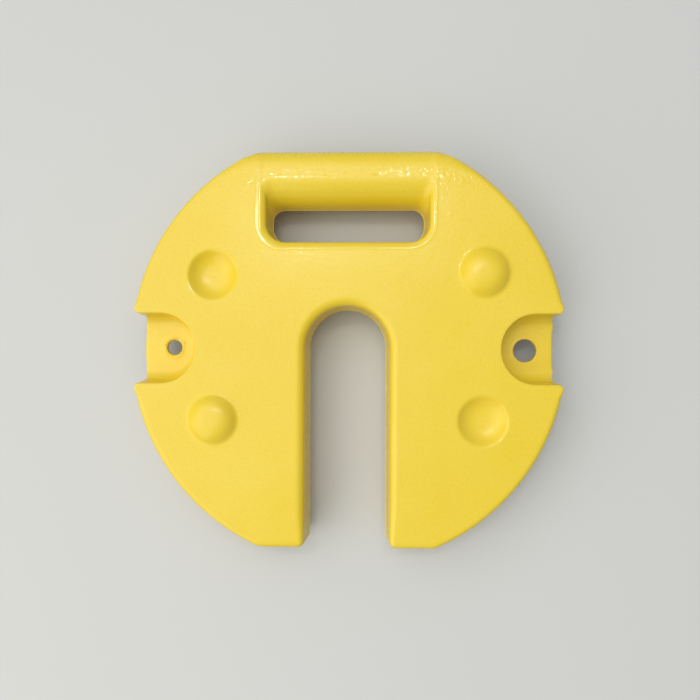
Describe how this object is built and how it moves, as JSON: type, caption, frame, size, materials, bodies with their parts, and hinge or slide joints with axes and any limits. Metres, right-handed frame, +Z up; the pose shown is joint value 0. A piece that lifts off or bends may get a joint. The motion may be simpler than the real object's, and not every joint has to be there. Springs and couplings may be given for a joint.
{
  "type": "marquee weight plate",
  "caption": "Round ballast plate with flat-cut ends, an open slot for a tent leg, a hand-hole under a rounded handle bar, lug webs in rim pockets, and stacking domes and dimples.",
  "frame": {"origin": "on the resting face, under the centre of the rim, which is also the centre of the plate's box", "axes": "+X across the plate through the two lug webs, +Y from the slot towards the handle, +Z up, out of the face with the domes"},
  "size_m": [0.393, 0.3664, 0.068],
  "materials": {
    "casing": "glossy yellow moulded polyethylene with a faint orange-peel texture",
    "concrete": "cast grey concrete",
    "plug": "black moulded polyethylene, satin"
  },
  "bodies": {
    "root": {"upper_shell": "casing", "lower_shell": "casing", "concrete_core": "concrete", "filler_plug": "plug"}
  },
  "joints": []
}
